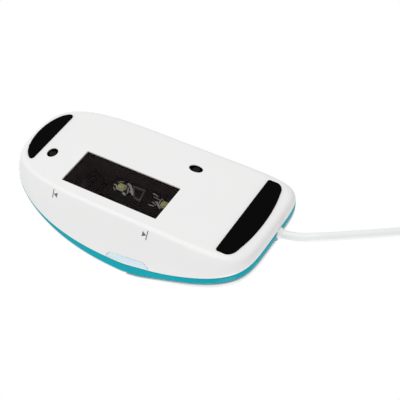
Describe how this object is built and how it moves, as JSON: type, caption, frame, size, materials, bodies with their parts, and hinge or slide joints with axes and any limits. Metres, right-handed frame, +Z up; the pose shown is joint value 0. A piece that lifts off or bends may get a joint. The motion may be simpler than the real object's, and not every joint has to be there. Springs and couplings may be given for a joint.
{
  "type": "scanner mouse",
  "caption": "Corded computer mouse with a scan window in its underside, split keys, a scroll wheel and a side scan button.",
  "frame": {"origin": "centre of the mouse's footprint on the desk, without its cord", "axes": "+X towards the palm end, so the cord leaves along -X; +Y towards the hand's right side; +Z up"},
  "size_m": [0.2252, 0.0966, 0.0337],
  "materials": {
    "shell": "white satin-gloss ABS",
    "key": "white satin-gloss ABS",
    "trim": "teal gloss ABS",
    "scan": "translucent pale blue-white polycarbonate",
    "window": "polished smoked window",
    "lens": "clear moulded acrylic",
    "black": "matt black moulding",
    "foot": "matt black low-friction pad and tyre rubber",
    "grey": "grey moulding",
    "board": "green solder mask on glass-epoxy",
    "chip": "black epoxy",
    "phosphor": "yellow phosphor over a white light-emitting diode",
    "cream": "cream nylon",
    "cord": "white soft PVC",
    "steel": "plated steel",
    "mirror": "front-surface mirror"
  },
  "bodies": {
    "mouse_body": {"board_screw_1": "steel", "board_screw_2": "steel", "bottom_case": "shell", "cable_gland": "cord", "camera_board": "board", "camera_lens": "lens", "capacitor": "chip", "case_screw_front_left": "steel", "case_screw_front_right": "steel", "case_screw_rear_left": "steel", "case_screw_rear_right": "steel", "cord": "cord", "cord_coil": "cord", "cord_header": "cream", "cord_tail": "cord", "cord_tie": "black", "crystal": "steel", "diffuser_frame": "grey", "folding_mirror": "mirror", "front_foot": "foot", "front_tracking_lens": "lens", "front_tracking_sensor": "chip", "internal_lead": "cord", "key_pin": "steel", "led_board": "black", "led_front": "phosphor", "led_rear": "phosphor", "left_key_switch": "black", "lens_holder": "black", "main_board": "board", "optics_hood": "black", "palm_cover": "shell", "plug_grip": "cord", "plug_shell": "steel", "plug_tongue": "black", "rear_foot": "foot", "rear_tracking_lens": "lens", "rear_tracking_sensor": "chip", "reflector_front": "steel", "reflector_rear": "steel", "right_key_switch": "black", "scan_board": "board", "scan_processor": "chip", "scan_switch": "chip", "trim_band": "trim", "usb_controller": "chip", "wheel_encoder": "chip", "wheel_switch": "chip", "window_glass": "window"},
    "left_key": {"left_key": "key"},
    "right_key": {"right_key": "key"},
    "left_plunger": {"left_key_plunger": "cream"},
    "right_plunger": {"right_key_plunger": "cream"},
    "wheel_carrier": {"wheel_cradle": "black"},
    "wheel": {"wheel_tyre": "foot", "wheel_hub": "trim", "wheel_axle": "steel"},
    "wheel_click_plunger": {"wheel_plunger": "cream"},
    "scan_button": {"scan_button": "scan"},
    "scan_button_plunger": {"scan_plunger": "cream"}
  },
  "joints": [
    {"name": "left_key_press", "type": "hinge", "parent": "mouse_body", "child": "left_key", "pos_m": [-0.009, 0, 0.0265], "axis": [0, -1, 0], "range_deg": [0, 0.9], "stiffness_Nm_per_rad": 0.6},
    {"name": "right_key_press", "type": "hinge", "parent": "mouse_body", "child": "right_key", "pos_m": [-0.009, 0, 0.0265], "axis": [0, -1, 0], "range_deg": [0, 0.9], "stiffness_Nm_per_rad": 0.6},
    {"name": "left_plunger_travel", "type": "slide", "parent": "mouse_body", "child": "left_plunger", "axis": [0, 0, -1], "range_m": [0, 0.00045]},
    {"name": "right_plunger_travel", "type": "slide", "parent": "mouse_body", "child": "right_plunger", "axis": [0, 0, -1], "range_m": [0, 0.00045]},
    {"name": "wheel_click", "type": "slide", "parent": "mouse_body", "child": "wheel_carrier", "axis": [0, 0, -1], "range_m": [0, 0.00045], "stiffness_N_per_m": 800, "springref_m": -0.0005},
    {"name": "wheel_spin", "type": "hinge", "parent": "wheel_carrier", "child": "wheel", "pos_m": [-0.0315, 0, 0.018], "axis": [0, 1, 0], "continuous": true},
    {"name": "wheel_plunger_travel", "type": "slide", "parent": "mouse_body", "child": "wheel_click_plunger", "axis": [0, 0, -1], "range_m": [0, 0.00045]},
    {"name": "scan_press", "type": "slide", "parent": "mouse_body", "child": "scan_button", "axis": [0, 1, 0], "range_m": [0, 0.0005], "stiffness_N_per_m": 700, "springref_m": -0.0003},
    {"name": "scan_plunger_travel", "type": "slide", "parent": "mouse_body", "child": "scan_button_plunger", "axis": [0, 1, 0], "range_m": [0, 0.0005]}
  ],
  "couplings": [
    {"joint": "left_plunger_travel", "follows": "left_key_press", "m_per_rad": 0.0275},
    {"joint": "right_plunger_travel", "follows": "right_key_press", "m_per_rad": 0.0275},
    {"joint": "wheel_plunger_travel", "follows": "wheel_click", "ratio": 1},
    {"joint": "scan_plunger_travel", "follows": "scan_press", "ratio": 1}
  ]
}
